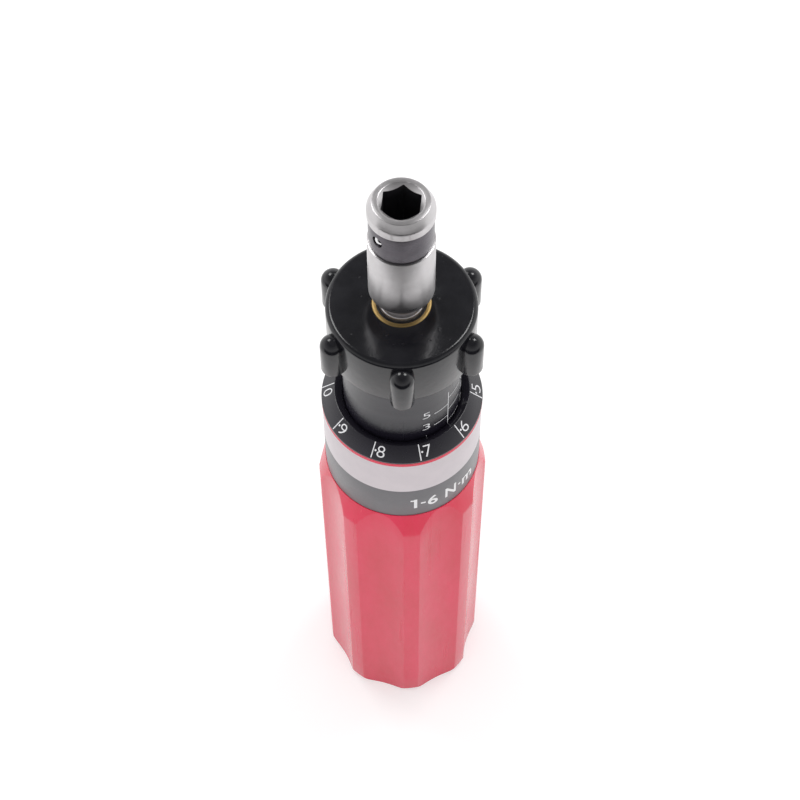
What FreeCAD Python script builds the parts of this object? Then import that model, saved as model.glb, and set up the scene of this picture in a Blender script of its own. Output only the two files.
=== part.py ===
import FreeCAD, Part
import math
import os

# Adjustable torque screwdriver, standing on the end of its handle with the tip up.
# Millimetres. +Z runs along the axis from the handle's end to the tip, and the origin is the
# centre of the handle's end. Angles are in degrees about +Z, from +X.
#
# How it works: the spindle ends in a cam with a ring of detents. Balls in the pressure plate
# are pushed into the detents by the torque spring, and ride out of them at the set torque.
# Turning the knob screws the barrel into the body tube and loads the spring through a ball
# race, so one turn of the dial's ten divisions is one unit of torque.

# ------------------------------------------------------------------ setting
READING = 2.6            # torque shown at rest, N.m
RANGE_LOW = 1.0
RANGE_HIGH = 6.0
PITCH = 2.0              # barrel thread, mm for each turn and each N.m

# ------------------------------------------------------------------ clearances
SEATED = 0.02            # radial gap of parts that are pressed, screwed or stuck together
RUNNING = 0.03           # radial gap of a shaft in its bush and of a ball in its pocket
SCREWED = 0.05           # radial gap of the barrel in the body tube
END_FLOAT = 0.03         # axial gap under the turning cam

# ------------------------------------------------------------------ barrel
BARREL_R = 11.1
BARREL_WALL = 2.9
THREAD_STEP = 0.4        # the threaded end stands out this far, and so can't pass the dial ring
THREAD_LENGTH = 18.4
STOP_MARGIN = 0.6        # left under the dial ring at the lowest setting
WEB_T = 6.0
FRICTION_RING_R = 0.6    # section
FRICTION_RING_DROP = 2.8 # below the barrel's shoulder

# ------------------------------------------------------------------ body tube
TUBE_WALL = 1.75
TUBE_TOP_WALL = 1.0      # under the dial ring's sleeve
TUBE_KEY_COUNT = 3
TUBE_KEY_WIDTH = 3.0
TUBE_KEY_DEPTH = 0.8     # outside, for the ribs in the handle's bore
TUBE_KEY_LENGTH = 20.0
TUBE_KEY_ANGLE = 60.0
KEYWAY_WIDTH = 3.0
KEYWAY_DEPTH = 0.9       # inside, for the pressure plate
KEYWAY_ANGLE = 0.0
KEY_CLEAR = 0.1

# ------------------------------------------------------------------ dial ring
DIAL_EDGE_T = 0.45
DIAL_CONE = 40.0         # slope of the face, degrees
DIAL_CLEAR = 0.15        # round the barrel
DIAL_BEVEL_R = 1.5       # across and down, from the face's inner edge to the bore
DIAL_BEVEL = 1.0
SLEEVE_WALL = 1.05
SLEEVE_LENGTH = 6.0
FULL_SCALE_GAP = 10.4    # from the dial to the knob's skirt at the highest setting

# ------------------------------------------------------------------ handle
NECK_WALL = 1.73         # under the label
RIM_STEP = 0.27          # the neck's upper rim and the shoulder's top stand out from it
RIM_HEIGHT = 1.0
LABEL_T = 0.15
LABEL_WIDTH = 19.4
LABEL_SEAM = 0.4
SHOULDER_LENGTH = 5.9
SHOULDER_ROUND = 2.0     # where the shoulder's cone meets the ridges
FLUTE_WALL = 2.05        # least wall of the grip, in the middle of a flute
FLUTE_DEPTH = 1.4
FLUTE_COUNT = 8
FLUTE_R = 18.0           # hollow radius of a flute
RIDGE_ANGLE = -84.0      # one of the ridges
RIDGE_ROUND = 0.35
BASE_ROUND = 1.8
FLOOR_WEB = 2.8          # of the handle's end, over the screw's head
END_CAP_T = 1.2
END_CAP_RECESS = 0.2

# ------------------------------------------------------------------ rear plug and its screws
REAR_SPACE = 2.4
PLUG_WEB = 2.0           # between the screw's hole and the bush
SCREW_R = 2.5
SCREW_HEAD_RING = 1.75   # the head stands out from the shank
SCREW_HEAD_T = 2.8
SCREW_GRIP = 4.5         # length of the screw inside the plug
SCREW_SPARE = 1.5        # hole past the screw's end
SCREW_KEY_AF = 3.0       # across the flats of the screw's socket
SINK_CLEAR = 1.25        # round the head
SCREW_CLEAR = 0.25       # in the handle's floor
SPANNER_HOLE_R = 1.25
SPANNER_HOLE_DEPTH = 3.0
LOCK_SCREW_R = 1.5
LOCK_SCREW_LENGTH = 4.2
LOCK_SCREW_INSET = 0.2
LOCK_SCREW_ANGLE = 30.0
LOCK_KEY_AF = 1.5
KEY_SOCKET_DEPTH = 1.4

# ------------------------------------------------------------------ spindle
SHANK_R = 4.0
TAIL_STEP = 1.0
UNDERCUT_DEPTH = 0.6     # of the neck under the head
JOURNAL_PROUD = 0.7      # journal that shows above the knob
HEAD_CLEAR = 1.4         # gap under the head at the lowest setting
HEAD_LENGTH = 24.4
HEAD_CHAMFER = 0.4
HEX_AF = 6.4
HEX_ANGLE = -96.5        # one of the socket's corners
HEX_DEPTH = 16.0
DRILL_TIP = 1.6
MOUTH_R = 3.95           # the socket's countersink
NOSE_LAND = 1.0          # flat ring round the countersink
NOSE_BEVEL_R = 0.85      # across and down
NOSE_BEVEL = 1.6
COLLAR_LENGTH = 3.35
COLLAR_STEP = 0.05       # the body below the band stands out from the collar
BAND_GROOVE_DEPTH = 0.85
BAND_GROOVE_WIDTH = 6.75
BAND_T = 0.53
BAND_SWELL = 0.1         # how far its middle stands out
BAND_SLIT = 0.9
BAND_HOLE_R = 1.1
BALL_R = 1.3
BALL_ANGLE = -136.5
BALL_DEPTH = 6.0         # below the head's top
BALL_PROUD = 0.23        # into the socket, past its flats
BALL_TRAVEL = 0.25

# ------------------------------------------------------------------ rear bush and thrust washer
REAR_BUSH_WALL = 1.5
REAR_BUSH_LENGTH = 6.0
WASHER_T = 1.5
WASHER_CLEAR = 0.9       # at both of its edges

# ------------------------------------------------------------------ clutch
CAM_CLEAR = 0.65
CAM_PIN_R = 1.0
CAM_PIN_INSET = 0.9
CAM_PIN_HEIGHT = 2.6     # above the cam's lower face
CAM_OVER_PIN = 3.9
DETENT_COUNT = 12
DETENT_DEPTH = 0.9
CLUTCH_BALL_R = 2.0
CLUTCH_BALL_COUNT = 6
CLUTCH_INSET = 4.15      # from the tube's bore to the balls' circle
CLUTCH_GAP = 1.2         # between cam and plate at rest
PLATE_T = 5.5
PLATE_CLEAR = 0.3        # round the shank
KEYWAY_SPARE = 2.0       # keyway above the plate's highest place

# ------------------------------------------------------------------ spring and its thrust race
WIRE_R = 1.7
SPRING_CLEAR = 1.45      # from the coils to the tube's bore
SPRING_LENGTH = 36.8     # at rest
ACTIVE_COILS = 5.0
COIL_TOUCH = 0.12        # air between a closed end coil and the next
SPIGOT_HEIGHT = 2.0
SPIGOT_CLEAR = 0.35
SEAT_T = 3.0
SEAT_CLEAR = 0.35
SEAT_BORE_CLEAR = 0.5
THRUST_BALL_R = 1.5
THRUST_BALL_COUNT = 8
THRUST_INSET = 3.15      # from the tube's bore to the balls' circle
RACEWAY_DEPTH = 0.3
CAGE_T = 1.3
CAGE_LAND = 0.7          # cage inside and outside the balls
RACE_T = 1.5
RACE_LAND = 1.3          # race inside and outside the balls

# ------------------------------------------------------------------ knob and its bush
KNOB_WALL = 2.45
KNOB_TOP_T = 5.0
KNOB_HEIGHT = 11.1
KNOB_ROUND = 1.0
SKIRT_ROUND = 0.3
LUG_COUNT = 6
LUG_R = 2.2
LUG_OUT = 0.6            # a lug's axis outside the knob's wall
LUG_ANGLE = -90.0
LUG_DROP = 1.0           # from the knob's top to a lug's top
LUG_LIFT = 1.0           # from the skirt's lower edge to a lug's foot
LUG_ROUND = 0.35
BUSH_WALL = 0.97
BUSH_FLANGE_STEP = 0.3
BUSH_FLANGE_T = 1.5
SEAL_WALL = 0.5
SEAL_RECESS = 0.35
SEAL_T = 1.6
KNOB_PIN_R = 1.0
KNOB_PIN_REACH = 3.0     # into the knob, and into the barrel
KNOB_PIN_COUNT = 2

# ------------------------------------------------------------------ radii, from the axis out
TAIL_R = SHANK_R - TAIL_STEP
REAR_BUSH_R = TAIL_R + RUNNING + REAR_BUSH_WALL
NECK_UNDERCUT_R = SHANK_R - UNDERCUT_DEPTH
BUSH_BORE_R = SHANK_R + RUNNING
SEAL_R = BUSH_BORE_R + SEAL_WALL + SEATED
BUSH_SLEEVE_R = BUSH_BORE_R + BUSH_WALL
BUSH_FLANGE_R = BUSH_SLEEVE_R + BUSH_FLANGE_STEP
NOSE_R = MOUTH_R + NOSE_LAND
COLLAR_R = NOSE_R + NOSE_BEVEL_R
HEAD_R = COLLAR_R + COLLAR_STEP
BAND_GROOVE_R = COLLAR_R - BAND_GROOVE_DEPTH
BAND_R = BAND_GROOVE_R + SEATED + BAND_T
BALL_SEAT_R = HEX_AF / 2 + BALL_R - BALL_PROUD
BARREL_BORE_R = BARREL_R - BARREL_WALL
THREAD_R = BARREL_R + THREAD_STEP
BORE_R = THREAD_R + SCREWED
TUBE_R = BORE_R + TUBE_WALL
TUBE_TOP_R = BORE_R + TUBE_TOP_WALL
SLEEVE_R = TUBE_TOP_R + SEATED + SLEEVE_WALL
NECK_R = TUBE_R + SEATED + NECK_WALL
RIM_R = NECK_R + RIM_STEP
FLUTE_FLOOR_R = TUBE_R + SEATED + FLUTE_WALL
GRIP_R = FLUTE_FLOOR_R + FLUTE_DEPTH
DIAL_R = RIM_R
DIAL_BORE_R = BARREL_R + DIAL_CLEAR
DIAL_FACE_R = DIAL_BORE_R + DIAL_BEVEL_R
KNOB_R = BARREL_R + KNOB_WALL
LUG_CIRCLE_R = KNOB_R + LUG_OUT
KNOB_PIN_CIRCLE_R = (BUSH_SLEEVE_R + BARREL_R) / 2
WASHER_BORE_R = SHANK_R + WASHER_CLEAR
WASHER_R = BORE_R - WASHER_CLEAR
CAM_R = BORE_R - CAM_CLEAR
CLUTCH_CIRCLE_R = BORE_R - CLUTCH_INSET
PLATE_BORE_R = SHANK_R + PLATE_CLEAR
SPRING_R = BORE_R - SPRING_CLEAR - WIRE_R
SPIGOT_R = SPRING_R - WIRE_R - SPIGOT_CLEAR
SEAT_R = BORE_R - SEAT_CLEAR
SEAT_BORE_R = SHANK_R + SEAT_BORE_CLEAR
THRUST_CIRCLE_R = BORE_R - THRUST_INSET
SCREW_HEAD_R = SCREW_R + SCREW_HEAD_RING
SINK_R = SCREW_HEAD_R + SINK_CLEAR

# ------------------------------------------------------------------ heights, from the handle's end up
TURNS_UP = READING - RANGE_LOW
TURNS_DOWN = RANGE_HIGH - READING
SINK_DEPTH = END_CAP_RECESS + END_CAP_T + SCREW_HEAD_T
FLOOR_T = SINK_DEPTH + FLOOR_WEB
PLUG_Z = FLOOR_T + REAR_SPACE
PLUG_LENGTH = SCREW_GRIP + SCREW_SPARE + PLUG_WEB + REAR_BUSH_LENGTH
CAM_T = CAM_PIN_HEIGHT + CAM_OVER_PIN
WASHER_Z = PLUG_Z + PLUG_LENGTH
CAM_Z = WASHER_Z + WASHER_T + END_FLOAT
CAM_TOP = CAM_Z + CAM_T
CLUTCH_BALL_Z = CAM_TOP + CLUTCH_BALL_R + RUNNING - DETENT_DEPTH
PLATE_Z = CAM_TOP + CLUTCH_GAP
SPRING_Z = PLATE_Z + PLATE_T
SEAT_Z = SPRING_Z + SPRING_LENGTH
SEAT_TOP = SEAT_Z + SEAT_T
THRUST_BALL_Z = SEAT_TOP + THRUST_BALL_R + RUNNING - RACEWAY_DEPTH
RACE_Z = THRUST_BALL_Z + THRUST_BALL_R + RUNNING - RACEWAY_DEPTH
BARREL_Z = RACE_Z + RACE_T
BARREL_SHOULDER = BARREL_Z + THREAD_LENGTH
TUBE_TOP = BARREL_SHOULDER + TURNS_UP * PITCH + STOP_MARGIN
DIAL_TOP = TUBE_TOP + DIAL_EDGE_T + (DIAL_R - DIAL_FACE_R) * math.tan(math.radians(DIAL_CONE))
SKIRT_Z = DIAL_TOP + FULL_SCALE_GAP + TURNS_DOWN * PITCH
KNOB_TOP = SKIRT_Z + KNOB_HEIGHT
BARREL_TOP = KNOB_TOP - KNOB_TOP_T
WEB_Z = BARREL_TOP - WEB_T
HEAD_Z = KNOB_TOP + TURNS_UP * PITCH + HEAD_CLEAR
TIP_Z = HEAD_Z + HEAD_LENGTH
BAND_GROOVE_TOP = TIP_Z - COLLAR_LENGTH
BAND_GROOVE_Z = BAND_GROOVE_TOP - BAND_GROOVE_WIDTH
RIM_Z = TUBE_TOP - RIM_HEIGHT
NECK_Z = RIM_Z - LABEL_WIDTH
SHOULDER_Z = NECK_Z - SHOULDER_LENGTH

# ------------------------------------------------------------------ shapes that repeat
ORIGIN = FreeCAD.Vector(0, 0, 0)
AXIS = FreeCAD.Vector(0, 0, 1)


def spot(radius, angle, height):
    """The point at a radius and angle round the axis."""
    turn = math.radians(angle)
    return FreeCAD.Vector(radius * math.cos(turn), radius * math.sin(turn), height)


def section_point(place):
    return FreeCAD.Vector(place[0], 0, place[1])


def turned(start, *steps):
    """Revolve a closed outline about Z. A step is a (radius, height) corner, or an arc's
    (middle, end) pair of such corners."""
    edges = []
    here = start
    for step in steps + (start,):
        curved = isinstance(step[0], tuple)
        there = step[1] if curved else step
        if curved:
            arc = Part.Arc(section_point(here), section_point(step[0]), section_point(there))
            edges.append(arc.toShape())
        elif there != here:
            edges.append(Part.makeLine(section_point(here), section_point(there)))
        here = there
    return Part.Face(Part.Wire(edges)).revolve(ORIGIN, AXIS, 360)


def ring(inner, outer, low, high):
    return turned((inner, low), (outer, low), (outer, high), (inner, high))


def disc(radius, low, high):
    return Part.makeCylinder(radius, high - low, FreeCAD.Vector(0, 0, low))


def post(radius, low, high, circle, angle):
    """An upright round bar away from the axis."""
    return Part.makeCylinder(radius, high - low, spot(circle, angle, low))


def spoke(radius, near, far, angle, height):
    """A round bar that points straight out from the axis."""
    return Part.makeCylinder(radius, far - near, spot(near, angle, height), spot(1, angle, 0))


def hexagon(across_flats, low, high, corner_angle):
    corner_r = across_flats / 2 / math.cos(math.radians(30))
    corners = [spot(corner_r, corner_angle + 60 * k, low) for k in range(7)]
    return Part.Face(Part.makePolygon(corners)).extrude(AXIS * (high - low))


def key(width, near, far, low, high, angle):
    """A square-edged bar along the axis, between two radii."""
    bar = Part.makeBox(far - near, width, high - low, FreeCAD.Vector(near, -width / 2, low))
    bar.rotate(ORIGIN, AXIS, angle)
    return bar


def around(count, make, first=0.0):
    """Copies evenly spaced round the axis, where make takes an angle."""
    return [make(first + k * 360.0 / count) for k in range(count)]


def round_rims(solid, size, *places):
    """Fillet the circular edges at the given (radius, height) places."""
    rims = []
    for edge in solid.Edges:
        if edge.Degenerated or not isinstance(edge.Curve, Part.Circle):
            continue
        curve = edge.Curve
        for radius, height in places:
            if abs(curve.Radius - radius) < 1e-4 and abs(curve.Center.z - height) < 1e-4:
                rims.append(edge)
    return solid.makeFillet(size, rims)


# ------------------------------------------------------------------ handle and what it carries
def grip_profile():
    """Turned envelope of the grip: round base edge, upright wall and coned shoulder."""
    lean = math.atan2(GRIP_R - RIM_R, SHOULDER_LENGTH)
    setback = SHOULDER_ROUND * math.tan(lean / 2)
    start = SHOULDER_Z - setback
    end = (GRIP_R - setback * math.sin(lean), SHOULDER_Z + setback * math.cos(lean))
    middle = (GRIP_R - SHOULDER_ROUND * (1 - math.cos(lean / 2)), start + SHOULDER_ROUND * math.sin(lean / 2))
    base = BASE_ROUND * (1 - math.cos(math.pi / 4))
    return turned((0, 0), (GRIP_R - BASE_ROUND, 0), ((GRIP_R - base, base), (GRIP_R, BASE_ROUND)),
                  (GRIP_R + 1, BASE_ROUND), (GRIP_R + 1, start), (GRIP_R, start), (middle, end),
                  (RIM_R, NECK_Z), (0, NECK_Z))


def grip_section():
    """Outline of the grip: ridges and flutes, with a small round where they meet."""
    flute_circle = FLUTE_FLOOR_R + FLUTE_R
    round_circle = GRIP_R - RIDGE_ROUND
    reach = FLUTE_R + RIDGE_ROUND
    spread = math.degrees(math.acos((round_circle ** 2 + flute_circle ** 2 - reach ** 2)
                                    / (2 * round_circle * flute_circle)))
    edges = []
    for middle in around(FLUTE_COUNT, float, RIDGE_ANGLE + 180.0 / FLUTE_COUNT):
        flute_centre = spot(flute_circle, middle, 0)
        leaves = []
        for side in (-1, 1):
            round_centre = spot(round_circle, middle + side * spread, 0)
            on_ridge = spot(GRIP_R, middle + side * spread, 0)
            inward = (flute_centre - round_centre).normalize()
            on_flute = round_centre + inward * RIDGE_ROUND
            corner = (inward + (on_ridge - round_centre).normalize()).normalize()
            leaves.append((on_ridge, round_centre + corner * RIDGE_ROUND, on_flute))
        before, after = leaves
        edges.append(Part.Arc(*before).toShape())
        edges.append(Part.Arc(before[2], spot(FLUTE_FLOOR_R, middle, 0), after[2]).toShape())
        edges.append(Part.Arc(*reversed(after)).toShape())
        ridge_middle = middle + 180.0 / FLUTE_COUNT
        next_start = spot(GRIP_R, middle + 360.0 / FLUTE_COUNT - spread, 0)
        edges.append(Part.Arc(after[0], spot(GRIP_R, ridge_middle, 0), next_start).toShape())
    return Part.Wire(edges)


def handle():
    bore = TUBE_R + SEATED
    counterbore = SLEEVE_R + SEATED
    sleeve_end = TUBE_TOP - SLEEVE_LENGTH - SEATED
    grip = Part.Face(grip_section()).extrude(AXIS * NECK_Z).common(grip_profile())
    neck = turned((0, NECK_Z), (NECK_R, NECK_Z), (NECK_R, RIM_Z), (RIM_R, RIM_Z), (RIM_R, TUBE_TOP),
                  (0, TUBE_TOP))
    hollow = turned((0, FLOOR_T), (bore, FLOOR_T), (bore, sleeve_end), (counterbore, sleeve_end),
                    (counterbore, TUBE_TOP), (0, TUBE_TOP))
    ribs = around(TUBE_KEY_COUNT,
                  lambda a: key(TUBE_KEY_WIDTH - 2 * SEATED, TUBE_R - TUBE_KEY_DEPTH + SEATED,
                                TUBE_R + NECK_WALL / 2, FLOOR_T, FLOOR_T + TUBE_KEY_LENGTH - SEATED, a),
                  TUBE_KEY_ANGLE)
    screw_hole = disc(SCREW_R + SCREW_CLEAR, 0, FLOOR_T)
    body = grip.fuse(neck).cut(hollow).fuse(ribs)
    return body.cut([disc(SINK_R, 0, SINK_DEPTH), screw_hole]).removeSplitter()


def range_label():
    outer = NECK_R + LABEL_T
    wrap = ring(NECK_R + SEATED, outer + SEATED, NECK_Z + SEATED, RIM_Z - SEATED)
    return wrap.cut(key(LABEL_SEAM, NECK_R - 1, outer + 1, NECK_Z, RIM_Z, 90))


def end_cap():
    edge = SINK_R - SEATED
    top = END_CAP_RECESS + END_CAP_T
    return turned((0, END_CAP_RECESS), (edge - 0.3, END_CAP_RECESS), (edge, END_CAP_RECESS + 0.3),
                  (edge, top), (0, top))


def handle_screw():
    head_z = END_CAP_RECESS + END_CAP_T
    neck_z = head_z + SCREW_HEAD_T
    end_z = PLUG_Z + SCREW_GRIP
    screw = turned((0, head_z), (SCREW_HEAD_R - 0.4, head_z), (SCREW_HEAD_R, head_z + 0.4),
                   (SCREW_HEAD_R, neck_z), (SCREW_R, neck_z), (SCREW_R, end_z - 0.5),
                   (SCREW_R - 0.5, end_z), (0, end_z))
    return screw.cut(hexagon(SCREW_KEY_AF, head_z, head_z + KEY_SOCKET_DEPTH, 0))


# ------------------------------------------------------------------ body tube and its ends
def body_tube():
    tube = turned((BORE_R, FLOOR_T), (TUBE_R, FLOOR_T), (TUBE_R, TUBE_TOP - SLEEVE_LENGTH),
                  (TUBE_TOP_R, TUBE_TOP - SLEEVE_LENGTH), (TUBE_TOP_R, TUBE_TOP), (BORE_R, TUBE_TOP))
    keyway_top = SPRING_Z + DETENT_DEPTH + KEYWAY_SPARE
    keyways = around(TUBE_KEY_COUNT,
                     lambda a: key(KEYWAY_WIDTH, BORE_R - 1, BORE_R + KEYWAY_DEPTH,
                                   FLOOR_T, keyway_top, a), KEYWAY_ANGLE)
    slots = around(TUBE_KEY_COUNT,
                   lambda a: key(TUBE_KEY_WIDTH, TUBE_R - TUBE_KEY_DEPTH, TUBE_R + 1,
                                 FLOOR_T, FLOOR_T + TUBE_KEY_LENGTH, a), TUBE_KEY_ANGLE)
    lock_z = PLUG_Z + PLUG_LENGTH / 2
    lock_hole = spoke(LOCK_SCREW_R + SEATED, BORE_R - 2, TUBE_R + 2, LOCK_SCREW_ANGLE, lock_z)
    return tube.cut(keyways + slots + [lock_hole])


def lock_screw_span():
    far = TUBE_R - LOCK_SCREW_INSET
    return far - LOCK_SCREW_LENGTH, far


def plug_lock_screw():
    near, far = lock_screw_span()
    height = PLUG_Z + PLUG_LENGTH / 2
    screw = spoke(LOCK_SCREW_R, near, far, LOCK_SCREW_ANGLE, height)
    socket = hexagon(LOCK_KEY_AF, 0, KEY_SOCKET_DEPTH + 1, 0)
    socket.rotate(ORIGIN, FreeCAD.Vector(0, 1, 0), 90)
    socket.translate(FreeCAD.Vector(far - KEY_SOCKET_DEPTH, 0, height))
    socket.rotate(ORIGIN, AXIS, LOCK_SCREW_ANGLE)
    return screw.cut(socket)


def rear_plug():
    plug_r = BORE_R - SEATED
    top = PLUG_Z + PLUG_LENGTH
    chamfer = 0.5
    plug = turned((0, PLUG_Z), (plug_r - chamfer, PLUG_Z), (plug_r, PLUG_Z + chamfer),
                  (plug_r, top - chamfer), (plug_r - chamfer, top), (0, top))
    lock_near = lock_screw_span()[0]
    return plug.cut([disc(REAR_BUSH_R + SEATED, top - REAR_BUSH_LENGTH, top),
                     disc(SCREW_R + SEATED, PLUG_Z, PLUG_Z + SCREW_GRIP + SCREW_SPARE),
                     spoke(LOCK_SCREW_R + SEATED, lock_near, BORE_R, LOCK_SCREW_ANGLE,
                           PLUG_Z + PLUG_LENGTH / 2)]
                    + around(2, lambda a: post(SPANNER_HOLE_R, PLUG_Z, PLUG_Z + SPANNER_HOLE_DEPTH,
                                               (SCREW_R + BORE_R) / 2, a)))


def rear_bush():
    return ring(TAIL_R + RUNNING, REAR_BUSH_R, WASHER_Z - REAR_BUSH_LENGTH, WASHER_Z)


def lower_thrust_washer():
    return ring(WASHER_BORE_R, WASHER_R, WASHER_Z, WASHER_Z + WASHER_T)


def dial_ring():
    bore = TUBE_TOP_R + SEATED
    foot = TUBE_TOP - SLEEVE_LENGTH
    edge_top = TUBE_TOP + DIAL_EDGE_T
    return turned((DIAL_BORE_R, TUBE_TOP), (bore, TUBE_TOP), (bore, foot), (SLEEVE_R, foot),
                  (SLEEVE_R, TUBE_TOP), (DIAL_R, TUBE_TOP), (DIAL_R, edge_top),
                  (DIAL_FACE_R, DIAL_TOP), (DIAL_BORE_R, DIAL_TOP - DIAL_BEVEL))


# ------------------------------------------------------------------ spindle
def ball_place(radius):
    return spot(radius, BALL_ANGLE, TIP_Z - BALL_DEPTH)


def drive_spindle():
    tail_end = WASHER_Z - REAR_BUSH_LENGTH + 0.3
    journal_top = KNOB_TOP + JOURNAL_PROUD
    bar = turned((0, tail_end), (TAIL_R - 0.4, tail_end), (TAIL_R, tail_end + 0.4), (TAIL_R, CAM_Z),
                 (SHANK_R, CAM_Z), (SHANK_R, journal_top - 0.3), (SHANK_R - 0.3, journal_top),
                 (NECK_UNDERCUT_R, journal_top), (NECK_UNDERCUT_R, HEAD_Z),
                 (HEAD_R - HEAD_CHAMFER, HEAD_Z), (HEAD_R, HEAD_Z + HEAD_CHAMFER),
                 (HEAD_R, BAND_GROOVE_Z), (BAND_GROOVE_R, BAND_GROOVE_Z),
                 (BAND_GROOVE_R, BAND_GROOVE_TOP), (COLLAR_R, BAND_GROOVE_TOP),
                 (COLLAR_R, TIP_Z - NOSE_BEVEL), (NOSE_R, TIP_Z), (0, TIP_Z))
    socket_z = TIP_Z - HEX_DEPTH
    mouth = Part.makeCone(0, MOUTH_R, MOUTH_R, FreeCAD.Vector(0, 0, TIP_Z - MOUTH_R))
    drill = Part.makeCone(0, HEX_AF / 2, DRILL_TIP, FreeCAD.Vector(0, 0, socket_z - DRILL_TIP))
    pocket_r = BALL_R + RUNNING
    return bar.cut([hexagon(HEX_AF, socket_z, TIP_Z, HEX_ANGLE), mouth, drill,
                    spoke(pocket_r, BALL_SEAT_R, HEAD_R, BALL_ANGLE, TIP_Z - BALL_DEPTH),
                    Part.makeSphere(pocket_r, ball_place(BALL_SEAT_R)),
                    cam_pin_bar(CAM_PIN_R + SEATED)])


def bit_retaining_band():
    low = BAND_GROOVE_Z + SEATED
    high = BAND_GROOVE_TOP - SEATED
    inner = BAND_GROOVE_R + SEATED
    band = turned((inner, low), (BAND_R, low),
                  ((BAND_R + BAND_SWELL, (low + high) / 2), (BAND_R, high)), (inner, high))
    height = TIP_Z - BALL_DEPTH
    seat = Part.makeSphere(BALL_R + RUNNING, ball_place(BALL_SEAT_R + BALL_TRAVEL))
    return band.cut([spoke(BAND_HOLE_R, 0, HEAD_R + 1, BALL_ANGLE, height), seat,
                     key(BAND_SLIT, 0, HEAD_R + 1, low - 1, high + 1, BALL_ANGLE + 180)])


def bit_retaining_ball():
    return Part.makeSphere(BALL_R, ball_place(BALL_SEAT_R))


# ------------------------------------------------------------------ clutch
def cam_pin_bar(radius):
    reach = CAM_R - CAM_PIN_INSET
    return spoke(radius, -reach, reach, 0, CAM_Z + CAM_PIN_HEIGHT)


def clutch_cam():
    chamfer = 0.4
    cam = turned((SHANK_R + SEATED, CAM_Z), (CAM_R - chamfer, CAM_Z), (CAM_R, CAM_Z + chamfer),
                 (CAM_R, CAM_TOP - chamfer), (CAM_R - chamfer, CAM_TOP), (SHANK_R + SEATED, CAM_TOP))
    detents = around(DETENT_COUNT, lambda a: Part.makeSphere(CLUTCH_BALL_R + RUNNING,
                                                             spot(CLUTCH_CIRCLE_R, a, CLUTCH_BALL_Z)))
    return cam.cut(detents + [cam_pin_bar(CAM_PIN_R + SEATED)])


def cam_pin():
    return cam_pin_bar(CAM_PIN_R)


def clutch_balls():
    return Part.makeCompound(around(CLUTCH_BALL_COUNT, lambda a: Part.makeSphere(
        CLUTCH_BALL_R, spot(CLUTCH_CIRCLE_R, a, CLUTCH_BALL_Z))))


def pressure_plate():
    rim = BORE_R - SCREWED
    top = PLATE_Z + PLATE_T
    plate = turned((PLATE_BORE_R, PLATE_Z), (rim, PLATE_Z), (rim, top), (SPIGOT_R, top),
                   (SPIGOT_R, top + SPIGOT_HEIGHT), (PLATE_BORE_R, top + SPIGOT_HEIGHT))
    keys = around(TUBE_KEY_COUNT, lambda a: key(KEYWAY_WIDTH - 2 * KEY_CLEAR, rim - 1,
                                                BORE_R + KEYWAY_DEPTH - KEY_CLEAR, PLATE_Z, top, a),
                  KEYWAY_ANGLE)
    pockets = around(CLUTCH_BALL_COUNT, lambda a: Part.makeSphere(
        CLUTCH_BALL_R + RUNNING, spot(CLUTCH_CIRCLE_R, a, CLUTCH_BALL_Z)))
    return plate.fuse(keys).cut(pockets).removeSplitter()


# ------------------------------------------------------------------ spring and thrust race
def coil(turns, pitch, start_z, start_turn):
    """One stretch of the spring's centre line, and where it ends."""
    path = Part.makeHelix(pitch, turns * pitch, SPRING_R)
    path.rotate(ORIGIN, AXIS, start_turn * 360)
    path.translate(FreeCAD.Vector(0, 0, start_z))
    return path.Edges


def torque_spring():
    """Closed ends, ground flat over the last coil."""
    wire_d = 2 * WIRE_R
    closed_pitch = wire_d + COIL_TOUCH
    line_z = SPRING_Z - 0.25 * wire_d
    line_length = SPRING_LENGTH + 0.5 * wire_d
    active_pitch = (line_length - 2 * closed_pitch) / ACTIVE_COILS
    edges = coil(1, closed_pitch, line_z, 0)
    edges += coil(ACTIVE_COILS, active_pitch, line_z + closed_pitch, 1)
    edges += coil(1, closed_pitch, line_z + line_length - closed_pitch, 1 + ACTIVE_COILS)
    path = Part.Wire(edges)
    section = Part.Wire(Part.makeCircle(WIRE_R, FreeCAD.Vector(SPRING_R, 0, line_z),
                                        FreeCAD.Vector(0, 1, 0)))
    spring = path.makePipeShell([section], True, True)
    outside = SPRING_R + 2 * wire_d
    return spring.common(disc(outside, SPRING_Z, SEAT_Z))


def raceway():
    return Part.makeTorus(THRUST_CIRCLE_R, THRUST_BALL_R + RUNNING, FreeCAD.Vector(0, 0, THRUST_BALL_Z))


def spring_seat():
    seat = turned((SEAT_BORE_R, SEAT_Z - SPIGOT_HEIGHT), (SPIGOT_R, SEAT_Z - SPIGOT_HEIGHT),
                  (SPIGOT_R, SEAT_Z), (SEAT_R, SEAT_Z), (SEAT_R, SEAT_TOP), (SEAT_BORE_R, SEAT_TOP))
    return seat.cut(raceway())


def thrust_ball_places():
    return around(THRUST_BALL_COUNT, lambda a: spot(THRUST_CIRCLE_R, a, THRUST_BALL_Z))


def thrust_balls():
    return Part.makeCompound([Part.makeSphere(THRUST_BALL_R, place) for place in thrust_ball_places()])


def thrust_cage():
    low = THRUST_BALL_Z - CAGE_T / 2
    high = THRUST_BALL_Z + CAGE_T / 2
    half = THRUST_BALL_R + CAGE_LAND
    cage = ring(THRUST_CIRCLE_R - half, THRUST_CIRCLE_R + half, low, high)
    return cage.cut(around(THRUST_BALL_COUNT, lambda a: post(THRUST_BALL_R + RUNNING, low, high,
                                                             THRUST_CIRCLE_R, a)))


def thrust_race():
    half = THRUST_BALL_R + RACE_LAND
    return ring(THRUST_CIRCLE_R - half, THRUST_CIRCLE_R + half, RACE_Z, BARREL_Z).cut(raceway())


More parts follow.
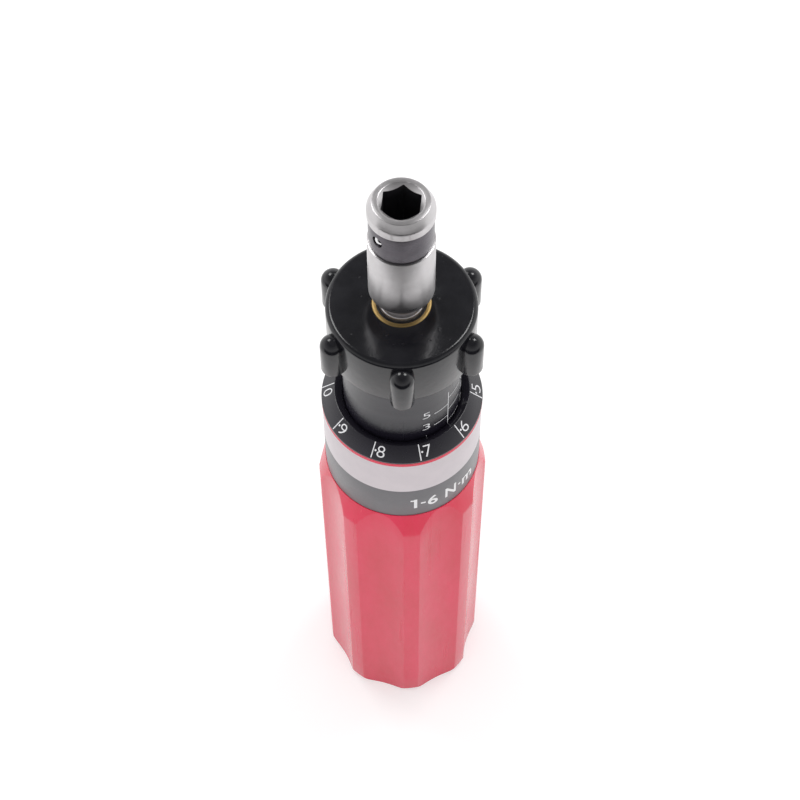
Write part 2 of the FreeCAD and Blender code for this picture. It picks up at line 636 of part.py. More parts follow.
# ------------------------------------------------------------------ barrel and knob
def friction_ring_section():
    return THREAD_R - FRICTION_RING_R, BARREL_SHOULDER - FRICTION_RING_DROP


def friction_ring():
    circle_r, height = friction_ring_section()
    return Part.makeTorus(circle_r, FRICTION_RING_R, FreeCAD.Vector(0, 0, height))


def knob_pin_holes(radius, low, high):
    return around(KNOB_PIN_COUNT, lambda a: post(radius, low, high, KNOB_PIN_CIRCLE_R, a))


def scale_barrel():
    web_bore = BUSH_SLEEVE_R + SEATED
    chamfer = 0.3
    barrel = turned((BARREL_BORE_R, BARREL_Z), (THREAD_R - chamfer, BARREL_Z),
                    (THREAD_R, BARREL_Z + chamfer), (THREAD_R, BARREL_SHOULDER),
                    (BARREL_R, BARREL_SHOULDER), (BARREL_R, BARREL_TOP), (web_bore, BARREL_TOP),
                    (web_bore, WEB_Z), (BARREL_BORE_R, WEB_Z))
    circle_r, height = friction_ring_section()
    half = FRICTION_RING_R + SEATED
    groove = ring(circle_r - half, BORE_R, height - half, height + half)
    pin_low = BARREL_TOP - KNOB_PIN_REACH
    return barrel.cut([groove] + knob_pin_holes(KNOB_PIN_R + SEATED, pin_low, BARREL_TOP))


def knob_pins():
    return Part.makeCompound(knob_pin_holes(KNOB_PIN_R, BARREL_TOP - KNOB_PIN_REACH,
                                            BARREL_TOP + KNOB_PIN_REACH))


def lug(angle):
    """An upright finger grip with a round top."""
    foot = SKIRT_Z + LUG_LIFT
    crown = KNOB_TOP - LUG_DROP - LUG_R
    finger = turned((0, foot), (LUG_R, foot), (LUG_R, crown),
                    ((LUG_R * math.sqrt(0.5), crown + LUG_R * math.sqrt(0.5)), (0, crown + LUG_R)))
    finger = round_rims(finger, LUG_ROUND, (LUG_R, foot))
    finger.translate(spot(LUG_CIRCLE_R, angle, 0))
    return finger


def adjuster_knob():
    recess = BARREL_R + SEATED
    sleeve = BUSH_SLEEVE_R + SEATED
    flange = BUSH_FLANGE_R + SEATED
    flange_z = KNOB_TOP - BUSH_FLANGE_T
    cap = turned((recess, SKIRT_Z), (KNOB_R, SKIRT_Z), (KNOB_R, KNOB_TOP), (flange, KNOB_TOP),
                 (flange, flange_z), (sleeve, flange_z), (sleeve, BARREL_TOP), (recess, BARREL_TOP))
    cap = round_rims(cap, KNOB_ROUND, (KNOB_R, KNOB_TOP))
    cap = round_rims(cap, SKIRT_ROUND, (KNOB_R, SKIRT_Z))
    knob = cap.fuse(around(LUG_COUNT, lug, LUG_ANGLE))
    knob = knob.cut([disc(recess, SKIRT_Z - 1, BARREL_TOP)])
    pins = knob_pin_holes(KNOB_PIN_R + SEATED, BARREL_TOP, BARREL_TOP + KNOB_PIN_REACH)
    return knob.cut(pins).removeSplitter()


def front_bush():
    flange_z = KNOB_TOP - BUSH_FLANGE_T
    seal_z = KNOB_TOP - SEAL_RECESS - SEAL_T
    chamfer = 0.15
    return turned((BUSH_BORE_R, WEB_Z), (BUSH_SLEEVE_R, WEB_Z), (BUSH_SLEEVE_R, flange_z),
                  (BUSH_FLANGE_R, flange_z), (BUSH_FLANGE_R, KNOB_TOP - chamfer),
                  (BUSH_FLANGE_R - chamfer, KNOB_TOP), (SEAL_R, KNOB_TOP), (SEAL_R, seal_z),
                  (BUSH_BORE_R, seal_z))


def shaft_seal():
    seal_z = KNOB_TOP - SEAL_RECESS - SEAL_T
    return ring(BUSH_BORE_R, SEAL_R - SEATED, seal_z, seal_z + SEAL_T)


PIECES = (
    handle, range_label, end_cap, handle_screw,
    body_tube, rear_plug, plug_lock_screw, rear_bush, lower_thrust_washer, dial_ring,
    drive_spindle, bit_retaining_band, bit_retaining_ball,
    clutch_cam, cam_pin, clutch_balls, pressure_plate,
    torque_spring, spring_seat, thrust_balls, thrust_cage, thrust_race,
    friction_ring, scale_barrel, knob_pins, adjuster_knob, front_bush, shaft_seal,
)

os.makedirs("parts", exist_ok=True)
for make in PIECES:
    shape = make()
    shape.exportStep("parts/" + make.__name__ + ".step")
    print(make.__name__, len(shape.Solids), round(shape.Volume, 1), shape.isValid())
print("total height", round(TIP_Z, 2), "tube top", round(TUBE_TOP, 2), "knob top", round(KNOB_TOP, 2))
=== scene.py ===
import math

import bmesh
import bpy
from mathutils import Matrix, Vector


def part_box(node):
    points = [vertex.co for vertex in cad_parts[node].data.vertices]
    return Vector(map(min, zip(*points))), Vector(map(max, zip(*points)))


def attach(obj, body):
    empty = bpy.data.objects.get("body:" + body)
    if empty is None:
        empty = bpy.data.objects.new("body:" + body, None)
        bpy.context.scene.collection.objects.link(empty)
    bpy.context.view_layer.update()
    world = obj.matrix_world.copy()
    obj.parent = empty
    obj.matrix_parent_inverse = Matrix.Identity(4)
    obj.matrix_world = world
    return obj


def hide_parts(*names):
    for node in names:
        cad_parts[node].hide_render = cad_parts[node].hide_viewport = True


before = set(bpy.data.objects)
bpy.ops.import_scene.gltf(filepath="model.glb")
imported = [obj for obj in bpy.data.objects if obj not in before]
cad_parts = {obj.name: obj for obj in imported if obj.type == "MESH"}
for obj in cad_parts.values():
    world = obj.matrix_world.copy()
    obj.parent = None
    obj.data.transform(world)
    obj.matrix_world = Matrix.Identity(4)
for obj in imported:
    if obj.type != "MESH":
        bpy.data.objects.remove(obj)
scene = bpy.context.scene
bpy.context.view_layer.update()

MM = 0.001


def foot(node):
    """Height of a node's lowest point, in millimetres."""
    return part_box(node)[0].z / MM


def top(node):
    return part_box(node)[1].z / MM


def outer(node):
    """Radius of a round node, in millimetres."""
    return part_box(node)[1].x / MM


# ------------------------------------------------------------------ sizes, mm
TIP = top("drive_spindle")
KNOB_TOP = top("adjuster_knob")
SKIRT = foot("adjuster_knob")
DIAL_TOP = top("dial_ring")
TUBE_TOP = top("handle")
BARREL_FOOT = foot("scale_barrel")
BARREL_TOP = top("scale_barrel")
HANDLE_FLOOR = foot("body_tube")
LABEL_FOOT = foot("range_label")
LABEL_TOP = top("range_label")
SEATED = 0.02
INK = 0.02               # how far print stands off what it is on

GRIP_R = 16.77
FLUTE_FLOOR_R = 15.37
FLUTE_R = 18.0
FLUTES = 8
RIDGE_ANGLE = -84.0
RIDGE_ROUND = 0.35
BASE_ROUND = 1.8
SINK_R = 5.5
SINK_DEPTH = 4.2
RIM_R = 15.32
NECK_R = 15.05
LABEL_R = 15.22
SHOULDER_LENGTH = 5.9
SHOULDER_ROUND = 2.0
LABEL_SEAM = 1.5         # degrees

DIAL_FACE_R = 12.75
DIAL_BORE_R = 11.25
DIAL_BEVEL = 1.0
DIAL_CONE = math.radians(40)
DIAL_MID_R = 14.03
SLEEVE_R = 13.62
TUBE_TOP_R = 12.55
TUBE_R = 13.3

BARREL_R = 11.1
THREAD_R = 11.5
BARREL_BORE_R = 8.2
BUSH_R = 5.0
BUSH_FLANGE_R = 5.3
SEAL_R = 4.55
SHANK_R = 4.0
KNOB_R = 13.55
LUG_R = 2.2
LUG_CIRCLE_R = 14.15

NECK_UNDERCUT_R = 3.4
HEAD_R = 5.85
HEAD_LENGTH = 24.4
COLLAR_R = 5.8
COLLAR_LENGTH = 3.35
NOSE_R = 4.95
NOSE_BEVEL = 1.6
MOUTH_R = 3.95
GROOVE_R = 4.95
GROOVE_WIDTH = 6.75
BAND_R = 5.5
BAND_SWELL = 0.1
BAND_SLIT = 9.4          # degrees
BAND_HOLE_R = 1.1
HEX_AF = 6.4
HEX_ANGLE = -96.5
HEX_DEPTH = 16.0
BALL_R = 1.3
BALL_ANGLE = -136.5
BALL_DROP = 6.0
BALL_SEAT_R = 4.27


# ------------------------------------------------------------------ mesh work
def spin_chain(bm, steps, sweep, start):
    """Spin what is drawn in the XZ plane about Z and close it up."""
    bmesh.ops.rotate(bm, verts=bm.verts, cent=(0, 0, 0),
                     matrix=Matrix.Rotation(math.radians(start), 3, "Z"))
    bmesh.ops.spin(bm, geom=bm.verts[:] + bm.edges[:], axis=(0, 0, 1), cent=(0, 0, 0),
                   steps=steps, angle=math.radians(sweep), use_merge=sweep == 360.0)
    bmesh.ops.remove_doubles(bm, verts=bm.verts, dist=1e-4)
    ends = [edge for edge in bm.edges if edge.is_boundary]
    if ends and sweep != 360.0:
        bmesh.ops.holes_fill(bm, edges=ends, sides=0)
    bmesh.ops.recalc_face_normals(bm, faces=bm.faces)


def turned(corners, closed=False, steps=144, sweep=360.0, start=0.0):
    """A turned piece from (radius, height) corners. A third number rounds the corner."""
    bm = bmesh.new()
    chain = [bm.verts.new((corner[0], 0, corner[1])) for corner in corners]
    for pair in zip(chain, chain[1:]):
        bm.edges.new(pair)
    if closed:
        bm.edges.new((chain[-1], chain[0]))
    for vertex, corner in zip(chain, corners):
        if len(corner) == 3:
            bmesh.ops.bevel(bm, geom=[vertex], offset=corner[2], affect="VERTICES",
                            segments=3 if corner[2] < 0.5 else 10, profile=0.5, material=-1)
    spin_chain(bm, steps, sweep, start)
    return bm


def point_outwards(bm, radius, angle, height):
    """Turn a piece that was made along Z to point out from the axis, and place it."""
    turn = Matrix.Rotation(math.radians(angle), 4, "Z")
    lie = Matrix.Rotation(math.radians(90), 4, "Y")
    place = Matrix.Translation((0, 0, height)) @ turn @ Matrix.Translation((radius, 0, 0)) @ lie
    bmesh.ops.transform(bm, matrix=place, verts=bm.verts)


def join(bm, extra):
    """Add one mesh to another."""
    carrier = bpy.data.meshes.new("carrier")
    extra.to_mesh(carrier)
    extra.free()
    bm.from_mesh(carrier)
    bpy.data.meshes.remove(carrier)


def plain_object(name, bm):
    mesh = bpy.data.meshes.new(name)
    bm.to_mesh(mesh)
    bm.free()
    made = bpy.data.objects.new(name, mesh)
    scene.collection.objects.link(made)
    return made


def cut(bm, *cutters):
    """Cut shapes out of a closed mesh."""
    blank = plain_object("blank", bm)
    tools = []
    for cutter in cutters:
        tool = plain_object("cutter", cutter)
        step = blank.modifiers.new("cut", "BOOLEAN")
        step.operation = "DIFFERENCE"
        step.solver = "EXACT"
        step.object = tool
        tools.append(tool)
    graph = bpy.context.evaluated_depsgraph_get()
    mesh = bpy.data.meshes.new_from_object(blank.evaluated_get(graph))
    result = bmesh.new()
    result.from_mesh(mesh)
    for tool in tools + [blank]:
        bpy.data.objects.remove(tool)
    bpy.data.meshes.remove(mesh)
    return result


def piece(name, bm, body, material, stands_for=(), crease=32):
    """Finish a piece: real size, smooth faces with sharp creases, its body and its finish."""
    bmesh.ops.scale(bm, vec=(MM, MM, MM), verts=bm.verts)
    made = plain_object(name, bm)
    made.data.shade_smooth()
    made.data.set_sharp_from_angle(angle=math.radians(crease))
    made.data.materials.append(material)
    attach(made, body)
    if stands_for:
        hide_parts(*stands_for)
    return made


# ------------------------------------------------------------------ node work
def add(tree, kind, inputs=None, **settings):
    """Add a node. An input is given as a value or as the output that feeds it."""
    made = tree.nodes.new(kind)
    for name, value in settings.items():
        setattr(made, name, value)
    for name, value in (inputs or {}).items():
        socket = made.inputs[name]
        if isinstance(value, bpy.types.NodeSocket):
            tree.links.new(value, socket)
        else:
            socket.default_value = value
    return made


def sums(tree, operation, first, second=0.0, third=0.0):
    return add(tree, "ShaderNodeMath", {0: first, 1: second, 2: third}, operation=operation).outputs[0]


def effect(name, inputs, outputs):
    """An empty node group with its named sockets."""
    group = bpy.data.node_groups.new(name, "ShaderNodeTree")
    for label, kind, value in inputs:
        socket = group.interface.new_socket(name=label, in_out="INPUT", socket_type=kind)
        if value is not None:
            socket.default_value = value
    for label, kind in outputs:
        group.interface.new_socket(name=label, in_out="OUTPUT", socket_type=kind)
    start = group.nodes.new("NodeGroupInput")
    end = group.nodes.new("NodeGroupOutput")
    return group, start.outputs, end.inputs


def lathe_lines():
    """Fine rings left by the tool, round Z on walls and on end faces alike."""
    group, given, result = effect(
        "lathe lines",
        [("Vector", "NodeSocketVector", None), ("Pitch", "NodeSocketFloat", 6000.0),
         ("Wander", "NodeSocketFloat", 1.5)],
        [("Lines", "NodeSocketFloat"), ("Bands", "NodeSocketFloat")])
    split = add(group, "ShaderNodeSeparateXYZ", {0: given["Vector"]}).outputs
    flat = add(group, "ShaderNodeCombineXYZ", {0: split[0], 1: split[1]}).outputs[0]
    reach = add(group, "ShaderNodeVectorMath", {0: flat}, operation="LENGTH").outputs["Value"]
    safe = sums(group, "MAXIMUM", reach, 0.00001)
    east = sums(group, "MULTIPLY", sums(group, "DIVIDE", split[0], safe), given["Wander"])
    north = sums(group, "MULTIPLY", sums(group, "DIVIDE", split[1], safe), given["Wander"])
    across = sums(group, "MULTIPLY_ADD", reach, given["Pitch"], east)
    along = sums(group, "MULTIPLY_ADD", split[2], given["Pitch"], north)
    spot = add(group, "ShaderNodeCombineXYZ", {0: across, 1: along}).outputs[0]
    fine = add(group, "ShaderNodeTexNoise", {"Vector": spot, "Scale": 1.0, "Detail": 2.0})
    broad = add(group, "ShaderNodeTexNoise", {"Vector": spot, "Scale": 0.09, "Detail": 1.0})
    group.links.new(fine.outputs["Fac"], result["Lines"])
    group.links.new(broad.outputs["Fac"], result["Bands"])
    return group


def clouding():
    """Slow drift between two colours."""
    group, given, result = effect(
        "clouding",
        [("Vector", "NodeSocketVector", None), ("Scale", "NodeSocketFloat", 120.0),
         ("Deep", "NodeSocketColor", (0, 0, 0, 1)), ("Pale", "NodeSocketColor", (1, 1, 1, 1))],
        [("Color", "NodeSocketColor"), ("Drift", "NodeSocketFloat")])
    drift = add(group, "ShaderNodeTexNoise", {"Vector": given["Vector"], "Scale": given["Scale"],
                                              "Detail": 4.0, "Roughness": 0.6})
    spread = add(group, "ShaderNodeMapRange", {"Value": drift.outputs["Fac"], "From Min": 0.32,
                                               "From Max": 0.68}).outputs[0]
    blend = add(group, "ShaderNodeMix", {0: spread, 6: given["Deep"], 7: given["Pale"]}, data_type="RGBA")
    group.links.new(blend.outputs[2], result["Color"])
    group.links.new(spread, result["Drift"])
    return group


def hairlines():
    """Sparse fine scratches from handling, as a mask."""
    group, given, result = effect(
        "hairlines",
        [("Vector", "NodeSocketVector", None), ("Scale", "NodeSocketFloat", 900.0),
         ("Share", "NodeSocketFloat", 0.1)],
        [("Mask", "NodeSocketFloat")])
    masks = []
    for turn, stretch in ((0.5, 0.02), (-1.1, 0.03), (1.9, 0.025)):
        turned_map = add(group, "ShaderNodeMapping", {"Vector": given["Vector"], "Rotation": (turn, turn, 0),
                                                      "Scale": (1.0, 1.0, stretch)}).outputs[0]
        grain = add(group, "ShaderNodeTexNoise", {"Vector": turned_map, "Scale": given["Scale"],
                                                  "Detail": 1.0}).outputs["Fac"]
        edge = sums(group, "SUBTRACT", 0.78, given["Share"])
        masks.append(add(group, "ShaderNodeMapRange", {"Value": grain, "From Min": edge,
                                                       "From Max": 0.8}).outputs[0])
    both = sums(group, "MAXIMUM", masks[0], masks[1])
    group.links.new(sums(group, "MAXIMUM", both, masks[2]), result["Mask"])
    return group


LATHE_LINES = lathe_lines()
CLOUDING = clouding()
HAIRLINES = hairlines()


def use(tree, group, inputs):
    made = tree.nodes.new("ShaderNodeGroup")
    made.node_tree = group
    for name, value in inputs.items():
        socket = made.inputs[name]
        if isinstance(value, bpy.types.NodeSocket):
            tree.links.new(value, socket)
        else:
            socket.default_value = value
    return made.outputs


def new_material(name, **values):
    """A material with its Principled shader. Returns it, its tree, shader and coordinates."""
    material = bpy.data.materials.new(name)
    material.use_nodes = True
    tree = material.node_tree
    shader = tree.nodes["Principled BSDF"]
    for label, value in values.items():
        shader.inputs[label.replace("_", " ")].default_value = value
    place = add(tree, "ShaderNodeTexCoord").outputs["Object"]
    return material, tree, shader, place


def feed(tree, shader, **links):
    for label, output in links.items():
        tree.links.new(output, shader.inputs[label.replace("_", " ")])


def relief(tree, shader, height, depth, strength=1.0):
    """Bump of a given depth in metres."""
    bump = add(tree, "ShaderNodeBump", {"Height": height, "Distance": depth, "Strength": strength})
    tree.links.new(bump.outputs["Normal"], shader.inputs["Normal"])


def ranged(tree, value, low, high):
    """Map 0 to 1 onto another range."""
    return sums(tree, "MULTIPLY_ADD", value, high - low, low)


# ------------------------------------------------------------------ finishes
def red_plastic():
    """Polished cellulose plastic, slightly clouded, with handling marks."""
    material, tree, shader, place = new_material("polished red plastic", IOR=1.5)
    tall = add(tree, "ShaderNodeMapping", {"Vector": place, "Scale": (1, 1, 0.3)}).outputs[0]
    cloud = use(tree, CLOUDING, {"Vector": tall, "Scale": 160.0, "Deep": (0.70, 0.003, 0.04, 1),
                                 "Pale": (0.80, 0.016, 0.075, 1)})
    marks = use(tree, HAIRLINES, {"Vector": place, "Scale": 700.0, "Share": 0.05})["Mask"]
    peel = add(tree, "ShaderNodeTexNoise", {"Vector": place, "Scale": 420.0, "Detail": 2.0}).outputs["Fac"]
    rough = sums(tree, "MULTIPLY_ADD", marks, 0.18, ranged(tree, cloud["Drift"], 0.17, 0.25))
    feed(tree, shader, Base_Color=cloud["Color"], Roughness=rough)
    relief(tree, shader, sums(tree, "MULTIPLY_ADD", marks, -0.15, peel), 0.00004)
    return material


def label_film():
    """Printed film: pale above, dark grey below."""
    material, tree, shader, place = new_material("printed label film", IOR=1.5)
    height = add(tree, "ShaderNodeSeparateXYZ", {0: place}).outputs[2]
    middle = (LABEL_FOOT + LABEL_TOP) / 2 * MM
    upper = add(tree, "ShaderNodeMapRange", {"Value": height, "From Min": middle - 0.00003,
                                             "From Max": middle + 0.00003}).outputs[0]
    pale = use(tree, CLOUDING, {"Vector": place, "Scale": 300.0, "Deep": (0.66, 0.60, 0.63, 1),
                                "Pale": (0.70, 0.635, 0.665, 1)})["Color"]
    dark = use(tree, CLOUDING, {"Vector": place, "Scale": 300.0, "Deep": (0.105, 0.103, 0.113, 1),
                                "Pale": (0.12, 0.117, 0.128, 1)})["Color"]
    both = add(tree, "ShaderNodeMix", {0: upper, 6: dark, 7: pale}, data_type="RGBA").outputs[2]
    grain = add(tree, "ShaderNodeTexNoise", {"Vector": place, "Scale": 2500.0, "Detail": 3.0}).outputs["Fac"]
    feed(tree, shader, Base_Color=both, Roughness=ranged(tree, grain, 0.24, 0.4))
    relief(tree, shader, grain, 0.00001)
    return material


def ink(name, colour):
    """Paint pressed into engraved marks, or printed."""
    material, tree, shader, place = new_material(name, IOR=1.45)
    pale = [channel * 1.06 for channel in colour]
    cover = use(tree, CLOUDING, {"Vector": place, "Scale": 2200.0, "Deep": (*colour, 1), "Pale": (*pale, 1)})
    feed(tree, shader, Base_Color=cover["Color"], Roughness=ranged(tree, cover["Drift"], 0.4, 0.6))
    relief(tree, shader, cover["Drift"], 0.00001)
    return material


def black_anodised():
    """Turned aluminium, dyed black."""
    material, tree, shader, place = new_material(
        "black anodised aluminium", IOR=1.65, Anisotropic=0.35, Anisotropic_Rotation=0.25)
    lines = use(tree, LATHE_LINES, {"Vector": place, "Pitch": 7000.0, "Wander": 1.2})
    dye = use(tree, CLOUDING, {"Vector": place, "Scale": 90.0, "Deep": (0.008, 0.007, 0.012, 1),
                               "Pale": (0.014, 0.012, 0.021, 1)})
    marks = use(tree, HAIRLINES, {"Vector": place, "Scale": 1100.0, "Share": 0.06})["Mask"]
    rough = sums(tree, "MULTIPLY_ADD", marks, 0.15, ranged(tree, lines["Bands"], 0.16, 0.32))
    feed(tree, shader, Base_Color=dye["Color"], Roughness=rough,
         Tangent=add(tree, "ShaderNodeTangent", direction_type="RADIAL", axis="Z").outputs[0])
    relief(tree, shader, lines["Lines"], 0.000006)
    return material


def black_plastic():
    """Gloss moulded plastic."""
    material, tree, shader, place = new_material("gloss black plastic", IOR=1.5)
    tone = use(tree, CLOUDING, {"Vector": place, "Scale": 200.0, "Deep": (0.006, 0.006, 0.008, 1),
                                "Pale": (0.011, 0.011, 0.014, 1)})
    marks = use(tree, HAIRLINES, {"Vector": place, "Scale": 900.0, "Share": 0.03})["Mask"]
    peel = add(tree, "ShaderNodeTexNoise", {"Vector": place, "Scale": 700.0, "Detail": 3.0}).outputs["Fac"]
    rough = sums(tree, "MULTIPLY_ADD", marks, 0.2, ranged(tree, tone["Drift"], 0.14, 0.2))
    feed(tree, shader, Base_Color=tone["Color"], Roughness=rough)
    relief(tree, shader, sums(tree, "MULTIPLY_ADD", marks, -0.2, peel), 0.00003)
    return material


def turned_metal(name, deep, pale, low, high, pitch=6500.0, stretch=0.6, depth=0.000012):
    """Bare or blued metal with lathe rings that stretch its highlights along the axis."""
    material, tree, shader, place = new_material(
        name, Metallic=1.0, Anisotropic=stretch, Anisotropic_Rotation=0.25)
    lines = use(tree, LATHE_LINES, {"Vector": place, "Pitch": pitch, "Wander": 1.4})
    stain = use(tree, CLOUDING, {"Vector": place, "Scale": 260.0, "Deep": (*deep, 1), "Pale": (*pale, 1)})
    marks = use(tree, HAIRLINES, {"Vector": place, "Scale": 1300.0, "Share": 0.08})["Mask"]
    rough = sums(tree, "MULTIPLY_ADD", marks, 0.12, ranged(tree, lines["Bands"], low, high))
    feed(tree, shader, Base_Color=stain["Color"], Roughness=rough,
         Tangent=add(tree, "ShaderNodeTangent", direction_type="RADIAL", axis="Z").outputs[0])
    relief(tree, shader, lines["Lines"], depth)
    return material


def polished_metal(name, deep, pale, low, high):
    """Smooth metal with handling marks."""
    material, tree, shader, place = new_material(name, Metallic=1.0)
    stain = use(tree, CLOUDING, {"Vector": place, "Scale": 700.0, "Deep": (*deep, 1), "Pale": (*pale, 1)})
    marks = use(tree, HAIRLINES, {"Vector": place, "Scale": 2600.0, "Share": 0.1})["Mask"]
    rough = sums(tree, "MULTIPLY_ADD", marks, 0.15, ranged(tree, stain["Drift"], low, high))
    feed(tree, shader, Base_Color=stain["Color"], Roughness=rough)
    relief(tree, shader, marks, 0.000004)
    return material


def rubber():
    material, tree, shader, place = new_material("black rubber", IOR=1.5)
    tone = use(tree, CLOUDING, {"Vector": place, "Scale": 900.0, "Deep": (0.010, 0.010, 0.011, 1),
                                "Pale": (0.022, 0.021, 0.022, 1)})
    grain = add(tree, "ShaderNodeTexNoise", {"Vector": place, "Scale": 4000.0, "Detail": 4.0}).outputs["Fac"]
    feed(tree, shader, Base_Color=tone["Color"], Roughness=ranged(tree, grain, 0.45, 0.7))
    relief(tree, shader, grain, 0.00002)
    return material


RED = red_plastic()
FILM = label_film()
WHITE_PAINT = ink("white paint in engraving", (0.86, 0.86, 0.88))
WHITE_PRINT = ink("white print", (0.9, 0.89, 0.9))
ANODISED = black_anodised()
BLACK = black_plastic()
STEEL = turned_metal("turned steel", (0.56, 0.545, 0.55), (0.64, 0.62, 0.63), 0.24, 0.36)
BLUED = turned_metal("blued steel", (0.095, 0.088, 0.10), (0.13, 0.12, 0.135), 0.22, 0.34, stretch=0.3)
BRASS = turned_metal("turned bronze", (0.50, 0.33, 0.12), (0.62, 0.44, 0.19), 0.38, 0.5, stretch=0.2)
# Darker finish for the hexagon socket's walls: painted shade inside the recess, not a real oxide.
PAINTED_SHADE_BORE = turned_metal("bore darkened as painted shade", (0.10, 0.095, 0.11), (0.13, 0.125, 0.14), 0.4, 0.55, stretch=0.0)
CHROME = polished_metal("polished chrome steel", (0.72, 0.72, 0.73), (0.8, 0.8, 0.8), 0.05, 0.12)
SPRING = polished_metal("oiled spring steel", (0.16, 0.155, 0.16), (0.3, 0.29, 0.29), 0.25, 0.4)
ZINC = polished_metal("zinc plate", (0.45, 0.46, 0.48), (0.6, 0.6, 0.6), 0.25, 0.42)
RUBBER = rubber()

NODE_FINISH = {
    "body_tube": STEEL, "rear_plug": STEEL, "clutch_cam": STEEL, "pressure_plate": STEEL,
    "spring_seat": STEEL, "thrust_race": STEEL, "cam_pin": STEEL, "knob_pins": STEEL,
    "handle_screw": ZINC, "plug_lock_screw": SPRING, "torque_spring": SPRING,
    "rear_bush": BRASS, "lower_thrust_washer": BRASS, "thrust_cage": BRASS,
    "clutch_balls": CHROME, "thrust_balls": CHROME, "friction_ring": RUBBER,
}
for node, finish in NODE_FINISH.items():
    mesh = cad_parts[node].data
    mesh.materials.clear()
    mesh.materials.append(finish)


# ------------------------------------------------------------------ handle
def flute_section():
    """Half a flute: (angle from the flute's middle, radius), out to the ridge's middle."""
    flute_circle = FLUTE_FLOOR_R + FLUTE_R
    round_circle = GRIP_R - RIDGE_ROUND
    reach = FLUTE_R + RIDGE_ROUND
    spread = math.acos((round_circle ** 2 + flute_circle ** 2 - reach ** 2)
                       / (2 * round_circle * flute_circle))
    share = FLUTE_R / reach
    edge = math.atan2(share * round_circle * math.sin(spread),
                      flute_circle + share * (round_circle * math.cos(spread) - flute_circle))
    ridge = math.pi / FLUTES
    half = []
    for k in range(9):
        turn = edge * k / 8
        half.append((turn, flute_circle * math.cos(turn)
                     - math.sqrt(FLUTE_R ** 2 - (flute_circle * math.sin(turn)) ** 2)))
    for k in range(1, 4):
        turn = edge + (spread - edge) * k / 3
        half.append((turn, round_circle * math.cos(turn - spread)
                     + math.sqrt(RIDGE_ROUND ** 2 - (round_circle * math.sin(turn - spread)) ** 2)))
    half.append(((spread + ridge) / 2, GRIP_R))
    half.append((ridge, GRIP_R))
    return half


def handle_grip():
    """Fluted grip, shoulder with the flutes' run-outs, neck, rim and bore."""
    half = flute_section()
    pitch = 2 * math.pi / FLUTES
    columns = half + [(pitch - turn, radius) for turn, radius in reversed(half[1:-1])]
    shoulder = LABEL_FOOT - SEATED - SHOULDER_LENGTH
    neck = shoulder + SHOULDER_LENGTH
    slope = SHOULDER_LENGTH / (GRIP_R - RIM_R)
    lean = math.atan2(1, slope)
    setback = SHOULDER_ROUND * math.tan(lean / 2)
    round_end = GRIP_R - setback * math.sin(lean)
    base_centre = GRIP_R - BASE_ROUND

    def run_out(radius):
        """Height at which the shoulder reaches a radius."""
        if radius < round_end:
            return shoulder + (GRIP_R - radius) * slope
        fall = radius - GRIP_R + SHOULDER_ROUND
        return shoulder - setback + math.sqrt(SHOULDER_ROUND ** 2 - fall ** 2)

    def shoulder_radius(height):
        if height > shoulder + setback * math.cos(lean):
            return GRIP_R - (height - shoulder) / slope
        rise = max(0.0, height - shoulder + setback)
        return GRIP_R - SHOULDER_ROUND + math.sqrt(SHOULDER_ROUND ** 2 - rise ** 2)

    def base_height(radius):
        """Height at which the round base edge reaches a radius."""
        return BASE_ROUND - math.sqrt(max(0.0, BASE_ROUND ** 2 - (radius - base_centre) ** 2))

    rows = [("round", 0, SINK_DEPTH), ("round", SINK_R, SINK_DEPTH), ("round", SINK_R, 0.15),
            ("round", SINK_R + 0.15, 0)]
    rows += [("foot", k / 8) for k in range(9)]
    rows += [("grip", k / 12) for k in range(1, 13)]
    rows += [("shoulder", k / 12) for k in range(13)]
    rows += [("round", NECK_R, neck), ("round", NECK_R, LABEL_TOP + SEATED),
             ("round", RIM_R - 0.1, LABEL_TOP + SEATED), ("round", RIM_R, LABEL_TOP + SEATED + 0.1),
             ("round", RIM_R, TUBE_TOP - 0.12), ("round", RIM_R - 0.12, TUBE_TOP),
             ("round", SLEEVE_R + SEATED, TUBE_TOP), ("round", SLEEVE_R + SEATED, TUBE_TOP - 6.02),
             ("round", TUBE_R + SEATED, TUBE_TOP - 6.02), ("round", TUBE_R + SEATED, HANDLE_FLOOR),
             ("round", 0, HANDLE_FLOOR)]

    bm = bmesh.new()
    chain = [bm.verts.new((1, 0, index)) for index in range(len(rows))]
    for pair in zip(chain, chain[1:]):
        bm.edges.new(pair)
    steps = FLUTES * len(columns)
    bmesh.ops.spin(bm, geom=bm.verts[:] + bm.edges[:], axis=(0, 0, 1), cent=(0, 0, 0),
                   steps=steps, angle=2 * math.pi, use_merge=True)
    first = math.radians(RIDGE_ANGLE) + pitch / 2
    for vertex in bm.verts:
        count = round(math.atan2(vertex.co.y, vertex.co.x) / (2 * math.pi) * steps) % steps
        flute, column = divmod(count, len(columns))
        turn, section = columns[column]
        row = rows[round(vertex.co.z)]
        ease = min(0.06, (neck - run_out(section)) / 3)
        if row[0] == "foot":
            reach = math.asin(min(1.0, (section - base_centre) / BASE_ROUND)) * row[1]
            radius = base_centre + BASE_ROUND * math.sin(reach)
            height = BASE_ROUND * (1 - math.cos(reach))
        elif row[0] == "grip":
            radius = section
            base = base_height(section)
            height = base + (run_out(section) - ease - base) * row[1]
        elif row[0] == "shoulder":
            height = run_out(section) + ease + (neck - run_out(section) - ease) * row[1]
            radius = shoulder_radius(height)
        else:
            radius, height = row[1:]
        angle = first + flute * pitch + turn
        vertex.co = (radius * math.cos(angle), radius * math.sin(angle), height)
    bmesh.ops.remove_doubles(bm, verts=bm.verts, dist=1e-4)
    bmesh.ops.recalc_face_normals(bm, faces=bm.faces)
    return piece("handle_grip", bm, "handle_body", RED, ["handle"], crease=24)


